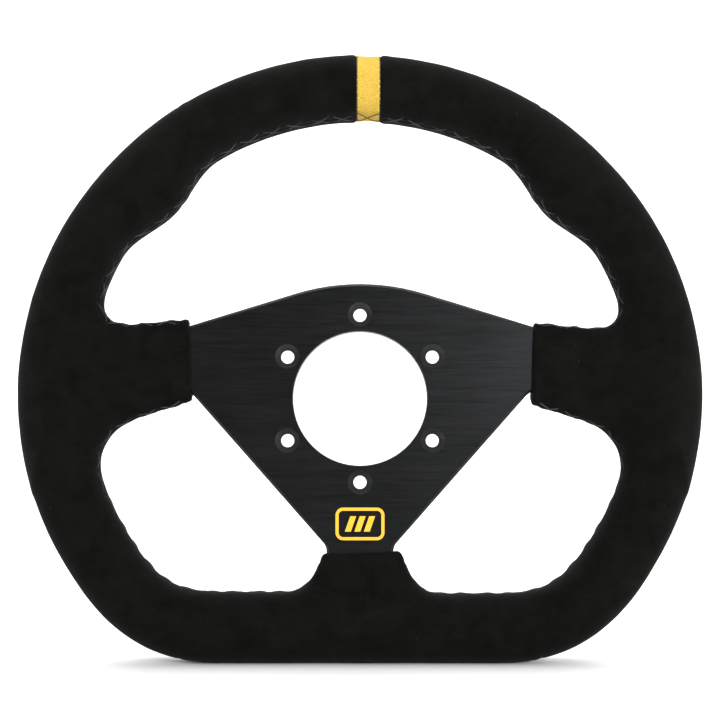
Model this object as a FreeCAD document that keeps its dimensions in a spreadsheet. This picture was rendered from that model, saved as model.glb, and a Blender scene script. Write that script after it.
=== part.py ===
import FreeCAD, Part
import math
import os
import Sketcher

# Flat-bottomed three-spoke steering wheel.
# Origin: hub axis at the plate's back face. +Y points away from the driver, +Z to 12 o'clock.

os.makedirs("parts", exist_ok=True)
doc = FreeCAD.newDocument("SteeringWheel")

# ---------------------------------------------------------------- driving sizes, in mm and degrees

SIZES = {
    "bolt_circle": 70.0,        # pitch circle of the six screw holes
    "bolt_count": 6.0,
    "bolt_hole": 5.5,
    "bolt_sink": 10.2,          # countersink on the driver's side
    "bore_width": 56.0,
    "plate_thick": 4.0,
    "plate_bevel": 1.1,
    "bore_bevel": 0.3,
    "plate_top": 47.9,          # plate's highest point above the hub
    "plate_top_round": 92.0,
    "plate_slope": 17.0,        # fall of the plate's top edges towards the side arms
    "arm_low": 3.5,             # lower edge of the side arms
    "arm_narrow": 82.0,         # from here outwards the arm has parallel edges
    "foot_half": 14.0,          # half width of the bottom arm
    "web_out": 68.3,            # lower diagonal edge crosses hub height here
    "web_lean": 0.88,           # sideways run of the diagonal for each mm of height
    "arm_round": 10.0,          # corner between the sloping and the level part of an arm's top edge
    "web_round_arm": 8.0,
    "web_round_foot": 5.0,
    "end_round": 3.0,           # corners at the ends of the arms, inside the rim
    "rim_radius": 142.5,
    "rim_flat": 110.2,          # hub axis to the flat bottom
    "rim_corner": 73.0,
    "rim_line": 14.0,           # outer edge to the hoop's centre line
    "rim_width": 26.0,
    "rim_depth": 28.0,
    "rim_low_extra": 2.8,       # the sides and bottom are this much wider than the top
    "grip_bump": 6.4,           # thumb grips
    "grip_angle": 44.5,
    "grip_spread": 14.0,
    "suede": 1.0,
    "tube_half": 7.0,
    "tube_wall": 2.0,
    "sleeve_end": 71.5,         # side sleeves start here
    "sleeve_high": 33.0,
    "sleeve_low": 1.0,
    "sleeve_thick": 8.4,        # at the sleeves' thin ends
    "sleeve_swell": 3.2,        # gain in half thickness on the way to the rim
    "turn_high": 98.8,          # the side sleeve's top edge starts to round into the rim here
    "round_high": 8.0,
    "turn_low": 95.0,           # and its lower edge here
    "round_low": 15.0,
    "foot_end": 64.8,           # bottom sleeve starts here
    "foot_sleeve": 16.0,        # its half width at the thin end
    "turn_foot": 73.5,          # its sides start to round into the rim here
    "round_foot": 8.0,
    "blend_round": 11.0,        # hollow between a sleeve's faces and the rim
    "marker_left": 1.3,         # the marker strip runs from here left of centre
    "marker_right": 8.2,        # to here right of centre
    "lace_pitch": 9.8,
    "lace_rows": 3.6,
    "lace_thick": 0.7,
    "badge_wide": 20.4,         # outside of the printed frame
    "badge_tall": 13.6,
    "badge_drop": 52.3,
    "badge_round": 3.2,
    "badge_line": 1.3,
    "badge_bars": 12.6,         # the three slanted bars inside it, all together
    "badge_bar_tall": 6.4,
    "badge_thick": 0.15,
    "rivet_width": 4.0,
}

sheet = doc.addObject("Spreadsheet::Sheet", "Sizes")
for row, (alias, value) in enumerate(SIZES.items(), start=1):
    sheet.set("A%d" % row, alias)
    sheet.set("B%d" % row, str(value))
    sheet.setAlias("B%d" % row, alias)
doc.recompute()


def size(alias):
    return float(sheet.get(alias))


MID = -size("plate_thick") / 2                      # middle plane of plate, hoop and rim
HOOP = size("rim_radius") - size("rim_line")        # hoop's centre line: main arc
HOOP_CORNER = size("rim_corner") - size("rim_line")
HOOP_FLAT = size("rim_flat") - size("rim_line")
CORNER_Z = size("rim_corner") - size("rim_flat")
CORNER_X = math.sqrt((size("rim_radius") - size("rim_corner")) ** 2 - CORNER_Z ** 2)
CORNER_ANGLE = math.degrees(math.atan2(CORNER_Z, CORNER_X))
X_AXIS = FreeCAD.Vector(1, 0, 0)
Y_AXIS = FreeCAD.Vector(0, 1, 0)

pieces = []


# ---------------------------------------------------------------- shared helpers

def vec(x, y, z):
    return FreeCAD.Vector(x, y, z)


def smooth(value):
    """Rises gently from 0 to 1 while value goes from 0 to 1."""
    value = min(max(value, 0.0), 1.0)
    return value * value * (3 - 2 * value)


def even_steps(start, end, count):
    """Values from start to end, both included, in count equal steps."""
    return [start + (end - start) * step / count for step in range(count + 1)]


def keep(obj, label):
    """Marks an object as a finished piece of the wheel."""
    obj.Label = label
    pieces.append(obj)
    return obj


def shape_feature(name, shape):
    feature = doc.addObject("Part::Feature", name)
    feature.Shape = shape
    return feature


def origin_item(body, role):
    return next(item for item in body.Origin.OriginFeatures if item.Role == role)


def add_sketch(body, name, role, offset=0.0):
    """A sketch on one of the body's own planes, moved along the plane's normal."""
    sketch = body.newObject("Sketcher::SketchObject", name)
    sketch.AttachmentSupport = [(origin_item(body, role), "")]
    sketch.MapMode = "FlatFace"
    sketch.AttachmentOffset = FreeCAD.Placement(vec(0, 0, offset), FreeCAD.Rotation())
    return sketch


def round_corner(before, corner, after, radius):
    """Start, middle and end of the arc that rounds a corner of an outline."""
    to_before = (before - corner).normalize()
    to_after = (after - corner).normalize()
    half = to_before.getAngle(to_after) / 2
    start = corner + to_before * (radius / math.tan(half))
    end = corner + to_after * (radius / math.tan(half))
    centre = corner + (to_before + to_after).normalize() * (radius / math.sin(half))
    middle = centre + (corner - centre).normalize() * radius
    return start, middle, end


def rounded_outline(corners):
    """Lines and arcs of a closed outline from (point, corner radius) pairs."""
    arcs = []
    for index, (corner, radius) in enumerate(corners):
        before = corners[index - 1][0]
        after = corners[(index + 1) % len(corners)][0]
        arcs.append(round_corner(before, corner, after, radius))
    edges = []
    for index, (start, middle, end) in enumerate(arcs):
        edges.append(Part.Arc(start, middle, end))
        edges.append(Part.LineSegment(end, arcs[(index + 1) % len(arcs)][0]))
    return edges


def mirrored(corners):
    """The same corners on the other side of the centre line, in reverse order."""
    return [(vec(-point.x, point.y, 0), radius) for point, radius in reversed(corners)]


# ---------------------------------------------------------------- spoke plate

def rivet_points():
    """Centres of the six rivets, two on the hoop's centre line in each arm."""
    arm_middle = (size("arm_low") + arm_high()) / 2
    points = {}
    for word, height in (("upper", arm_middle + 6), ("lower", arm_middle - 6)):
        across = math.sqrt(HOOP ** 2 - height ** 2)
        points["rivet_right_" + word] = (across, height)
        points["rivet_left_" + word] = (-across, height)
    points["rivet_bottom_left"] = (-size("foot_half") / 2, -HOOP_FLAT)
    points["rivet_bottom_right"] = (size("foot_half") / 2, -HOOP_FLAT)
    return points


def slope_height(x):
    """Height of the plate's sloping top edge, before its middle is rounded off."""
    slope = math.radians(size("plate_slope"))
    rise = size("plate_top_round") * (1 / math.cos(slope) - 1)
    return size("plate_top") + rise - x * math.tan(slope)


def arm_high():
    return slope_height(size("arm_narrow"))


def plate_corners():
    """Corners on the plate's right-hand side, from the top down."""
    reach = HOOP + 1.5
    low = size("arm_low")
    foot = size("foot_half")
    web_x = size("web_out") + size("web_lean") * low
    web_z = (foot - size("web_out")) / size("web_lean")
    return [
        (vec(size("arm_narrow"), arm_high(), 0), size("arm_round")),
        (vec(reach, arm_high(), 0), size("end_round")),
        (vec(reach, low, 0), size("end_round")),
        (vec(web_x, low, 0), size("web_round_arm")),
        (vec(foot, web_z, 0), size("web_round_foot")),
        (vec(foot, -HOOP_FLAT - 3, 0), size("end_round")),
    ]


def bevel(body, base, name, edges, width):
    chamfer = body.newObject("PartDesign::Chamfer", name)
    names = []
    for index, edge in enumerate(base.Shape.Edges, start=1):
        if any(edge.isSame(wanted) for wanted in edges):
            names.append("Edge%d" % index)
    chamfer.Base = (base, names)
    chamfer.setExpression("Size", "Sizes." + width)
    doc.recompute()
    return chamfer


def front_face(shape):
    """The flat face on the driver's side of the plate."""
    front = -size("plate_thick")
    flat = [face for face in shape.Faces if abs(face.BoundBox.YMin - front) < 1e-6]
    return max((face for face in flat if face.BoundBox.YLength < 1e-6), key=lambda face: face.Area)


def make_plate():
    body = doc.addObject("PartDesign::Body", "PlateBody")
    outline = add_sketch(body, "PlateOutline", "XZ_Plane")
    top = (vec(0, slope_height(0), 0), size("plate_top_round"))
    corners = [top] + plate_corners() + mirrored(plate_corners())
    outline.addGeometry(rounded_outline(corners), False)
    bore = outline.addGeometry(Part.Circle(vec(0, 0, 0), vec(0, 0, 1), size("bore_width") / 2), False)
    outline.addConstraint(Sketcher.Constraint("Coincident", bore, 3, -1, 1))
    rule = outline.addConstraint(Sketcher.Constraint("Radius", bore, size("bore_width") / 2))
    outline.setExpression("Constraints[%d]" % rule, "Sizes.bore_width / 2")
    pad = body.newObject("PartDesign::Pad", "PlatePad")
    pad.Profile = outline
    pad.setExpression("Length", "Sizes.plate_thick")
    doc.recompute()

    face = front_face(pad.Shape)
    edges = face.OuterWire.Edges
    edged = bevel(body, pad, "OutlineBevel", edges, "plate_bevel")
    face = front_face(edged.Shape)
    edges = [edge for wire in face.Wires if not wire.isSame(face.OuterWire) for edge in wire.Edges]
    edged = bevel(body, edged, "BoreBevel", edges, "bore_bevel")

    spots = add_sketch(body, "RivetSpots", "XZ_Plane")
    for x, z in rivet_points().values():
        spots.addGeometry(Part.Circle(vec(x, z, 0), vec(0, 0, 1), size("rivet_width") / 2), False)
    rivet_holes = body.newObject("PartDesign::Pocket", "RivetHoles")
    rivet_holes.Profile = spots
    rivet_holes.Type = "ThroughAll"
    rivet_holes.Midplane = True
    doc.recompute()

    first = add_sketch(body, "FirstHole", "XZ_Plane", size("plate_thick"))
    radius = size("bolt_hole") / 2
    reach = size("bolt_circle") / 2
    circle = first.addGeometry(Part.Circle(vec(0, reach, 0), vec(0, 0, 1), radius), False)
    first.addConstraint(Sketcher.Constraint("PointOnObject", circle, 3, -2))
    rule = first.addConstraint(Sketcher.Constraint("DistanceY", -1, 1, circle, 3, reach))
    first.setExpression("Constraints[%d]" % rule, "Sizes.bolt_circle / 2")
    doc.recompute()
    hole = body.newObject("PartDesign::Hole", "ScrewHole")
    hole.Profile = first
    doc.recompute()
    hole.DepthType = "ThroughAll"
    hole.HoleCutType = "Countersink"
    hole.HoleCutCustomValues = True
    hole.HoleCutCountersinkAngle = 90
    hole.setExpression("Diameter", "Sizes.bolt_hole")
    hole.setExpression("HoleCutDiameter", "Sizes.bolt_sink")
    doc.recompute()
    ring = body.newObject("PartDesign::PolarPattern", "ScrewHoles")
    ring.Originals = [hole]
    ring.Axis = (origin_item(body, "Y_Axis"), [""])
    ring.Angle = 360
    ring.Occurrences = int(size("bolt_count"))
    body.Tip = ring
    doc.recompute()
    return keep(body, "spoke_plate")


# ---------------------------------------------------------------- hoop inside the rim

def arc_between(centre_x, centre_z, radius, start, end):
    """Arc through three points on a circle, angles in degrees from +X."""
    points = []
    for angle in (start, (start + end) / 2, end):
        turn = math.radians(angle)
        points.append(vec(centre_x + radius * math.cos(turn), centre_z + radius * math.sin(turn), 0))
    return Part.Arc(*points)


def pipe_body(name, radius):
    """A round bar bent along the hoop's centre line."""
    body = doc.addObject("PartDesign::Body", name)
    path = add_sketch(body, name + "Path", "XZ_Plane", -MID)
    path.addGeometry([
        arc_between(0, 0, HOOP, 90, CORNER_ANGLE),
        arc_between(CORNER_X, CORNER_Z, HOOP_CORNER, CORNER_ANGLE, -90),
        Part.LineSegment(vec(CORNER_X, -HOOP_FLAT, 0), vec(-CORNER_X, -HOOP_FLAT, 0)),
        arc_between(-CORNER_X, CORNER_Z, HOOP_CORNER, -90, -180 - CORNER_ANGLE),
        arc_between(0, 0, HOOP, 180 - CORNER_ANGLE, 90),
    ], False)
    profile = add_sketch(body, name + "Profile", "YZ_Plane")
    profile.addGeometry(Part.Circle(vec(MID, HOOP, 0), vec(0, 0, 1), radius), False)
    pipe = body.newObject("PartDesign::AdditivePipe", name + "Pipe")
    pipe.Profile = profile
    pipe.Spine = (path, [])
    doc.recompute()
    return body


def make_rivet(name, x, z):
    """Shank through tube and arm, with a head at each end let into the tube."""
    seat = size("tube_half") - 0.8
    head = 2.2
    shank = doc.addObject("Part::Cylinder", name + "_shank")
    shank.setExpression("Radius", "Sizes.rivet_width / 2")
    shank.Height = 2 * seat
    shank.Placement = FreeCAD.Placement(vec(x, MID - seat, z), FreeCAD.Rotation(X_AXIS, -90))
    solids = [shank]
    for word, start in (("front", MID - seat - head), ("back", MID + seat)):
        cap = doc.addObject("Part::Cylinder", name + "_" + word)
        cap.setExpression("Radius", "Sizes.rivet_width * 0.95")
        cap.Height = head
        cap.Placement = FreeCAD.Placement(vec(x, start, z), FreeCAD.Rotation(X_AXIS, -90))
        solids.append(cap)
    rivet = doc.addObject("Part::MultiFuse", name + "_whole")
    rivet.Shapes = solids
    rivet.Refine = True
    return keep(rivet, name)


def cut(name, base, tools):
    """base minus each tool in turn, as cuts in the document."""
    for index, tool in enumerate(tools, start=1):
        result = doc.addObject("Part::Cut", "%s_%d" % (name, index))
        result.Base = base
        result.Tool = tool
        doc.recompute()
        base = result
    return base


def make_joiner():
    """Spigot inside the hoop's straight run, where the tube's two ends meet."""
    joiner = doc.addObject("Part::Cylinder", "Joiner")
    joiner.setExpression("Radius", "Sizes.tube_half - Sizes.tube_wall")
    joiner.Height = 30
    start = size("foot_half") + 8
    joiner.Placement = FreeCAD.Placement(vec(start, MID, -HOOP_FLAT), FreeCAD.Rotation(Y_AXIS, 90))
    return keep(joiner, "hoop_joiner")


# ---------------------------------------------------------------- soft rim: foam and suede

def oval_wire(centre, across, half_across, half_depth, power):
    """Rounded closed section in the plane of `across` and the Y axis."""
    points = []
    count = 20
    for step in range(count):
        turn = 2 * math.pi * step / count
        along = math.copysign(abs(math.cos(turn)) ** (2 / power), math.cos(turn))
        deep = math.copysign(abs(math.sin(turn)) ** (2 / power), math.sin(turn))
        points.append(centre + across * (half_across * along) + Y_AXIS * (half_depth * deep))
    curve = Part.BSplineCurve()
    curve.interpolate(points, PeriodicFlag=True)
    return Part.Wire([curve.toShape()])


def grip_hump(angle):
    """Thumb grip swelling: 1 at its top, 0 outside its spread."""
    away = abs(angle - size("grip_angle")) / size("grip_spread")
    return 0.5 + 0.5 * math.cos(math.pi * away) if away < 1 else 0.0


def width_at(angle):
    """Rim width where the rim's outward direction has this angle above +X."""
    low = size("rim_low_extra") * smooth((45 - angle) / 60)
    return size("rim_width") + size("grip_bump") * grip_hump(angle) + low


def path_point(angle):
    """Point of the hoop's centre line whose outward direction has this angle."""
    turn = math.radians(angle)
    if angle >= CORNER_ANGLE:
        return vec(HOOP * math.cos(turn), MID, HOOP * math.sin(turn))
    x = CORNER_X + HOOP_CORNER * math.cos(turn)
    return vec(x, MID, CORNER_Z + HOOP_CORNER * math.sin(turn))


def outward_at(angle):
    return vec(math.cos(math.radians(angle)), 0, math.sin(math.radians(angle)))


def inner_point(angle):
    """Point of the rim's inner edge."""
    return path_point(angle) + outward_at(angle) * (size("rim_line") - width_at(angle))


def rim_wire(angle, point, shrink):
    """Section of the rim; shrink moves the surface inwards."""
    outward = outward_at(angle)
    width = width_at(angle)
    centre = point + outward * (size("rim_line") - width / 2)
    depth = size("rim_depth") + 2 * grip_hump(angle)
    return oval_wire(centre, outward, width / 2 - shrink, depth / 2 - shrink, 2.2)


def rim_stations():
    """(angle, point) of the rim's sections from 12 to 6 o'clock, right-hand side."""
    angles = even_steps(90, CORNER_ANGLE, 28) + even_steps(CORNER_ANGLE, -90, 8)[1:]
    stations = [(angle, path_point(angle)) for angle in angles]
    for x in even_steps(CORNER_X, 0, 6)[1:]:
        stations.append((-90, vec(x, MID, -HOOP_FLAT)))
    return stations


def corner_flare(distance, start, radius, share=0.92):
    """Outward sweep of a sleeve where it rounds into the rim; level after that share of the radius."""
    run = min(max(distance - start, 0.0), share * radius)
    return radius - math.sqrt(radius ** 2 - run ** 2)


def sleeve_top(x):
    drop = 0.1 * (x - size("sleeve_end"))
    return size("sleeve_high") - drop + corner_flare(x, size("turn_high"), size("round_high"))


def sleeve_bottom(x):
    drop = 0.36 * (x - size("sleeve_end"))
    return -size("sleeve_low") - drop - corner_flare(x, size("turn_low"), size("round_low"))


def foot_side(drop):
    widen = 0.42 * (drop - size("foot_end"))
    return size("foot_sleeve") + widen + corner_flare(drop, size("turn_foot"), size("round_foot"))


def sleeve_depth(distance, start, inner_edge):
    """Half depth of a sleeve: it swells on its way to the rim, then rounds into it."""
    swell = size("sleeve_swell") * smooth((distance - start) / (inner_edge - start))
    turn = inner_edge - size("blend_round") / 3
    blend = corner_flare(distance, turn, size("blend_round"), 0.6)
    return size("sleeve_thick") / 2 + swell + blend


def sleeve_stations(start, inner_edge):
    """Distances of a sleeve's sections, from its thin end to well inside the rim."""
    return even_steps(start, inner_edge + size("blend_round") / 2, 18)


def side_sleeve(shrink):
    """Right-hand side sleeve, lofted from its end into the rim."""
    start = size("sleeve_end")
    inner_edge = inner_point(0).x
    wires = []
    for x in sleeve_stations(start + shrink, inner_edge):
        high = sleeve_top(x) - shrink
        low = sleeve_bottom(x) + shrink
        centre = vec(x, MID, (high + low) / 2)
        depth = sleeve_depth(x, start, inner_edge) - shrink
        wires.append(oval_wire(centre, vec(0, 0, 1), (high - low) / 2, depth, 4.0))
    return Part.makeLoft(wires, True, True)


def foot_sleeve(shrink):
    """Bottom sleeve, lofted from its end down into the rim."""
    start = size("foot_end")
    inner_edge = -inner_point(-90).z
    wires = []
    for drop in sleeve_stations(start + shrink, inner_edge):
        depth = sleeve_depth(drop, start, inner_edge) - shrink
        wires.append(oval_wire(vec(0, MID, -drop), X_AXIS, foot_side(drop) - shrink, depth, 4.0))
    return Part.makeLoft(wires, True, True)


def soft_solid(shrink):
    """Whole rim with its three sleeves; shrink 0 is the suede's outer surface."""
    wires = [rim_wire(angle, point, shrink) for angle, point in rim_stations()]
    half = Part.makeLoft(wires, True).fuse(side_sleeve(shrink))
    return half.fuse(half.mirror(vec(0, 0, 0), X_AXIS)).fuse(foot_sleeve(shrink))


def box_between(low, high):
    return Part.makeBox(high.x - low.x, high.y - low.y, high.z - low.z, low)


def make_foam(block, plate, bar, rivets):
    """Foam moulded round the plate's arms, the hoop and the rivets."""
    foam = block.cut(plate.Shape).cut(bar.Shape)
    foam = foam.cut([rivet.Shape for rivet in rivets])
    keep(shape_feature("Foam", foam), "rim_foam")


def make_suede(block, plate):
    """Left and right covers and the marker strip, cut from one skin over the foam."""
    skin = soft_solid(0.0).cut(block).cut(plate.Shape)
    far = 200.0
    strip_foot = vec(-size("marker_left"), -far, size("rim_radius") / 2)
    strip = box_between(strip_foot, vec(size("marker_right"), far, far))
    rest = skin.cut(strip)
    left = rest.common(box_between(vec(-far, -far, -far), vec(0, far, far)))
    right = rest.common(box_between(vec(0, -far, -far), vec(far, far, far)))
    keep(shape_feature("LeftCover", left), "cover_left")
    keep(shape_feature("RightCover", right), "cover_right")
    keep(shape_feature("Marker", skin.common(strip)), "centre_marker")


# ---------------------------------------------------------------- threads

def rod(start, end, radius):
    return Part.makeCylinder(radius, (end - start).Length, start, end - start)


def seam_thread(x, label):
    """Row of short stitches round the rim along one edge of the marker."""
    angle = math.degrees(math.acos(x / HOOP))
    wire = rim_wire(angle, path_point(angle), 0.0)
    count = 24
    spots = wire.discretize(count * 3 + 1)
    starts = spots[:-1:3]
    ends = spots[2::3]
    stitches = [rod(start, end, size("lace_thick") / 2) for start, end in zip(starts, ends)]
    return keep(shape_feature(label + "_thread", Part.makeCompound(stitches)), label)


def upper_edge():
    """Right-hand edge of the upper opening, from the marker down and along the side sleeve."""
    points = [inner_point(angle) for angle in even_steps(86, 23, 21)]
    corner = size("turn_high") + 0.8 * size("round_high")
    for x in even_steps(corner, size("sleeve_end") + 2, 10):
        points.append(vec(x, MID, sleeve_top(x)))
    return points


def lower_edge():
    """Right-hand lower opening: side sleeve, rim, then the bottom sleeve."""
    corner = size("turn_low") + 0.75 * size("round_low")
    points = [vec(x, MID, sleeve_bottom(x)) for x in even_steps(size("sleeve_end") + 2, corner, 10)]
    points += [inner_point(angle) for angle in even_steps(-14, -90, 13)]
    for x in even_steps(CORNER_X - 12, foot_side(size("turn_foot")) + 15, 2):
        points.append(vec(x, MID, inner_point(-90).z))
    corner = size("turn_foot") + 0.75 * size("round_foot")
    for drop in even_steps(corner, size("foot_end") + 2, 6):
        points.append(vec(foot_side(drop), MID, -drop))
    return points


def edge_curve(points):
    curve = Part.BSplineCurve()
    curve.interpolate(points)
    return curve.toShape()


def lacing(label, points, side):
    """Crossed thread along an opening's edge: legs swap rows at every step."""
    wire = Part.Wire([edge_curve([vec(side * p.x, p.y, p.z) for p in points])])
    steps = max(2, round(wire.Length / size("lace_pitch")))
    spots = wire.discretize(steps + 1)
    radius = size("lace_thick") / 2
    half_rows = size("lace_rows") / 2
    legs = []
    for index in range(steps):
        along = spots[index + 1] - spots[index]
        inward = along.cross(Y_AXIS).normalize() * side
        gap = along * 0.06
        first_row = half_rows if index % 2 else -half_rows
        for level, row in ((0.3, first_row), (0.3 + 2.4 * radius, -first_row)):
            start = spots[index] + gap + Y_AXIS * row + inward * level
            end = spots[index + 1] - gap - Y_AXIS * row + inward * level
            legs.append(rod(start, end, radius))
    return keep(shape_feature(label + "_thread", Part.makeCompound(legs)), label)


def make_marker_lacing():
    """The one cross that closes the marker strip on the rim's inner face."""
    inner = size("rim_radius") - size("rim_width")
    ends = (-size("marker_left") + 1.2, size("marker_right") - 1.2)
    radius = size("lace_thick") / 2
    half_rows = size("lace_rows") / 2
    legs = []
    for level, row in ((0.3, half_rows), (0.3 + 2.4 * radius, -half_rows)):
        start = vec(ends[0], MID + row, inner - level)
        end = vec(ends[1], MID - row, inner - level)
        legs.append(rod(start, end, radius))
    return keep(shape_feature("MarkerCross", Part.makeCompound(legs)), "lacing_marker")


# ---------------------------------------------------------------- badge

def frame_corners(half_wide, half_tall, radius):
    """Corners of a rounded rectangle round the badge's middle."""
    middle = -size("badge_drop")
    signs = ((1, 1), (1, -1), (-1, -1), (-1, 1))
    return [(vec(right * half_wide, middle + up * half_tall, 0), radius) for right, up in signs]


def badge_bar(left, bar_width, lean):
    """Outline of one slanted bar."""
    half = size("badge_bar_tall") / 2
    low = -size("badge_drop") - half
    high = -size("badge_drop") + half
    corners = [
        vec(left, low, 0),
        vec(left + bar_width, low, 0),
        vec(left + bar_width + lean, high, 0),
        vec(left + lean, high, 0),
    ]
    following = corners[1:] + corners[:1]
    return [Part.LineSegment(start, end) for start, end in zip(corners, following)]


def make_badge():
    """Printed mark on the bottom arm: a rounded frame round three slanted bars, thin as paint."""
    body = doc.addObject("PartDesign::Body", "BadgeBody")
    sketch = add_sketch(body, "BadgePrint", "XZ_Plane", size("plate_thick"))
    half_wide = size("badge_wide") / 2
    half_tall = size("badge_tall") / 2
    for inset in (0, size("badge_line")):
        corners = frame_corners(half_wide - inset, half_tall - inset, size("badge_round") - inset)
        sketch.addGeometry(rounded_outline(corners), False)
    lean = 0.35 * size("badge_bar_tall")
    bar_width = (size("badge_bars") - lean) / 4.2
    for left in even_steps(-size("badge_bars") / 2, size("badge_bars") / 2 - lean - bar_width, 2):
        sketch.addGeometry(badge_bar(left, bar_width, lean), False)
    pad = body.newObject("PartDesign::Pad", "BadgePad")
    pad.Profile = sketch
    pad.setExpression("Length", "Sizes.badge_thick")
    body.AllowCompound = True
    doc.recompute()
    return keep(body, "badge")


# ---------------------------------------------------------------- build

plate = make_plate()
rivets = [make_rivet(name, x, z) for name, (x, z) in rivet_points().items()]
joiner = make_joiner()
bar = pipe_body("HoopBar", size("tube_half"))
hollow = pipe_body("HoopHollow", size("tube_half") - size("tube_wall"))
keep(cut("Hoop", bar, [hollow, plate] + rivets), "rim_hoop")

foam_block = soft_solid(size("suede"))
make_foam(foam_block, plate, bar, rivets)
make_suede(foam_block, plate)

seam_thread(-size("marker_left"), "marker_seam_left")
seam_thread(size("marker_right"), "marker_seam_right")
lacing("lacing_upper_right", upper_edge(), 1)
lacing("lacing_upper_left", upper_edge(), -1)
lacing("lacing_lower_right", lower_edge(), 1)
lacing("lacing_lower_left", lower_edge(), -1)
make_marker_lacing()
make_badge()
doc.recompute()

# ---------------------------------------------------------------- check and write

for obj in doc.Objects:
    if {"Invalid", "Error"} & set(obj.State):
        raise SystemExit("%s failed: %s" % (obj.Name, obj.State))
for piece in pieces:
    if piece.Shape.isNull() or not piece.Shape.isValid():
        raise SystemExit("%s has no valid shape" % piece.Label)
for piece in pieces:
    piece.Shape.exportStep("parts/%s.step" % piece.Label)
    box = piece.Shape.BoundBox
    print("%-20s %9.1f mm3  %6.1f x %6.1f x %6.1f" % (
        piece.Label, piece.Shape.Volume, box.XLength, box.YLength, box.ZLength))
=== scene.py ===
import math

import bmesh
import bpy
import numpy as np
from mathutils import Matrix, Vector, noise
from mathutils.kdtree import KDTree


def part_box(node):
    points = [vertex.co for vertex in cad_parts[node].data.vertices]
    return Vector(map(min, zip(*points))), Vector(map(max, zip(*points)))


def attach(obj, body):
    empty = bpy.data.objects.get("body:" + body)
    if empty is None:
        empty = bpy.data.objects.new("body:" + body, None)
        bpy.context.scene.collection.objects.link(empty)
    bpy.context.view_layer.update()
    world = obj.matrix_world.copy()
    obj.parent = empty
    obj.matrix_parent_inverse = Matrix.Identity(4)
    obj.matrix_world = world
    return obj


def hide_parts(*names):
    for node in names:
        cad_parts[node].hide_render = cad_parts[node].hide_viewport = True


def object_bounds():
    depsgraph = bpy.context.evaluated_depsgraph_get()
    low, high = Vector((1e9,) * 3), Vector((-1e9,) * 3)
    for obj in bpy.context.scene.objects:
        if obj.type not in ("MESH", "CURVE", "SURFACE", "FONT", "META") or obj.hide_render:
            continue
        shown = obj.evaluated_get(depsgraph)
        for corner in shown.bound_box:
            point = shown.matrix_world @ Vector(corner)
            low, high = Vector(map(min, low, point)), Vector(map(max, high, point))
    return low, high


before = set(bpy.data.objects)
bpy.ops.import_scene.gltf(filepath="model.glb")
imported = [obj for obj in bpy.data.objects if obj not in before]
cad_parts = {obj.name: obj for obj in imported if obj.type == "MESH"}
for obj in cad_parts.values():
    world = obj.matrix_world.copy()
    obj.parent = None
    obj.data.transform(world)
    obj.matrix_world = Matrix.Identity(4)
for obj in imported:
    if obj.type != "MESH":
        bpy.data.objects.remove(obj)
cad_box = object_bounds()

# ------------------------------------------------------------ sizes, in mm and degrees

MM = 0.001


def box_mm(node):
    """Lowest and highest corner of a CAD node in mm."""
    low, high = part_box(node)
    return np.array(low) / MM, np.array(high) / MM


COVER_LOW, COVER_HIGH = box_mm("cover_right")
PLATE_LOW, PLATE_HIGH = box_mm("spoke_plate")
MARKER_LOW, MARKER_HIGH = box_mm("centre_marker")

MID = (PLATE_LOW[1] + PLATE_HIGH[1]) / 2       # middle plane of plate and rim
MARKER_EDGES = (MARKER_LOW[0], MARKER_HIGH[0])
MARKER_MIDDLE = (MARKER_LOW[0] + MARKER_HIGH[0]) / 2
MARKER_HALF = (MARKER_HIGH[0] - MARKER_LOW[0]) / 2
MARKER_ZONE = 90                               # the marker and its seams lie above this height
FOOT_ZONE = -50                                # the seam between the covers lies below this height

RIM_RADIUS = COVER_HIGH[0]
RIM_FLAT = -COVER_LOW[2]
RIM_CORNER = 70.0
RIM_LINE = 14.0                                # outer edge to the hoop's centre line
RIM_WIDTH = 25.95
RIM_DEPTH = 28.0
RIM_SQUARENESS = 2.2                           # 2 is an ellipse, more is squarer
LOW_EXTRA = 2.1                                # the rim is wider by this much lower down
LOW_LEAN = 0.35                                # and by this much less on the right, more on the left
BOTTOM_EXTRA = 1.1                             # and by this much more along the flat
SIDE_FLAT = 1.60                               # the lower sides are this much flatter than the arc
GRIP_BUMP = 6.6
GRIP_ANGLE = 45.0
GRIP_SPREAD = 14.5
SLEEVE_END = 71.5
SLEEVE_LENGTH = 48
FOOT_END = 64.8
FOOT_LENGTH = 27
FOOT_CENTRE = 0.8                              # the bottom sleeve sits this far to the right
FOOT_HALF_WIDTH = 16.2
FOOT_FLARE = 0.42                              # it widens towards the rim
SLEEVE_HALF_DEPTH = 4.2
SLEEVE_SWELL = 3.2                             # the sleeves thicken this much towards the rim
SLEEVE_CORNER = 1.1                            # rounding of the sleeves' cut ends
FOOT_BLEND = 10.0
SKIN = 1.0                                     # suede thickness
SKIN_VOXEL = 1.15
FOAM_VOXEL = 2.4
FOAM_DEPTH = 2.1                               # the foam lies this far under the suede's outside
LACE_PITCH = 9.8
LACE_ROWS = 3.2                                # each row of holes from the lacing's middle
LACE_FRONT = 2.0                               # at the top the lacing lies this far to the front
LACE_BACK = 4.2                                # and at the bottom this far to the back
SEAM_STITCH = 2.3
SEAM_THREAD = 0.3
THREAD = 0.24                                  # thread radius
THREAD_TWIST = 2.6                             # length of one full twist

HOOP = RIM_RADIUS - RIM_LINE
HOOP_CORNER = RIM_CORNER - RIM_LINE
HOOP_FLAT = RIM_FLAT - RIM_LINE
CORNER_Z = RIM_CORNER - RIM_FLAT
CORNER_X = math.sqrt((RIM_RADIUS - RIM_CORNER) ** 2 - CORNER_Z ** 2)
CORNER_ANGLE = math.degrees(math.atan2(CORNER_Z, CORNER_X))


# ------------------------------------------------------------ the rim's surface as a distance field

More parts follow.
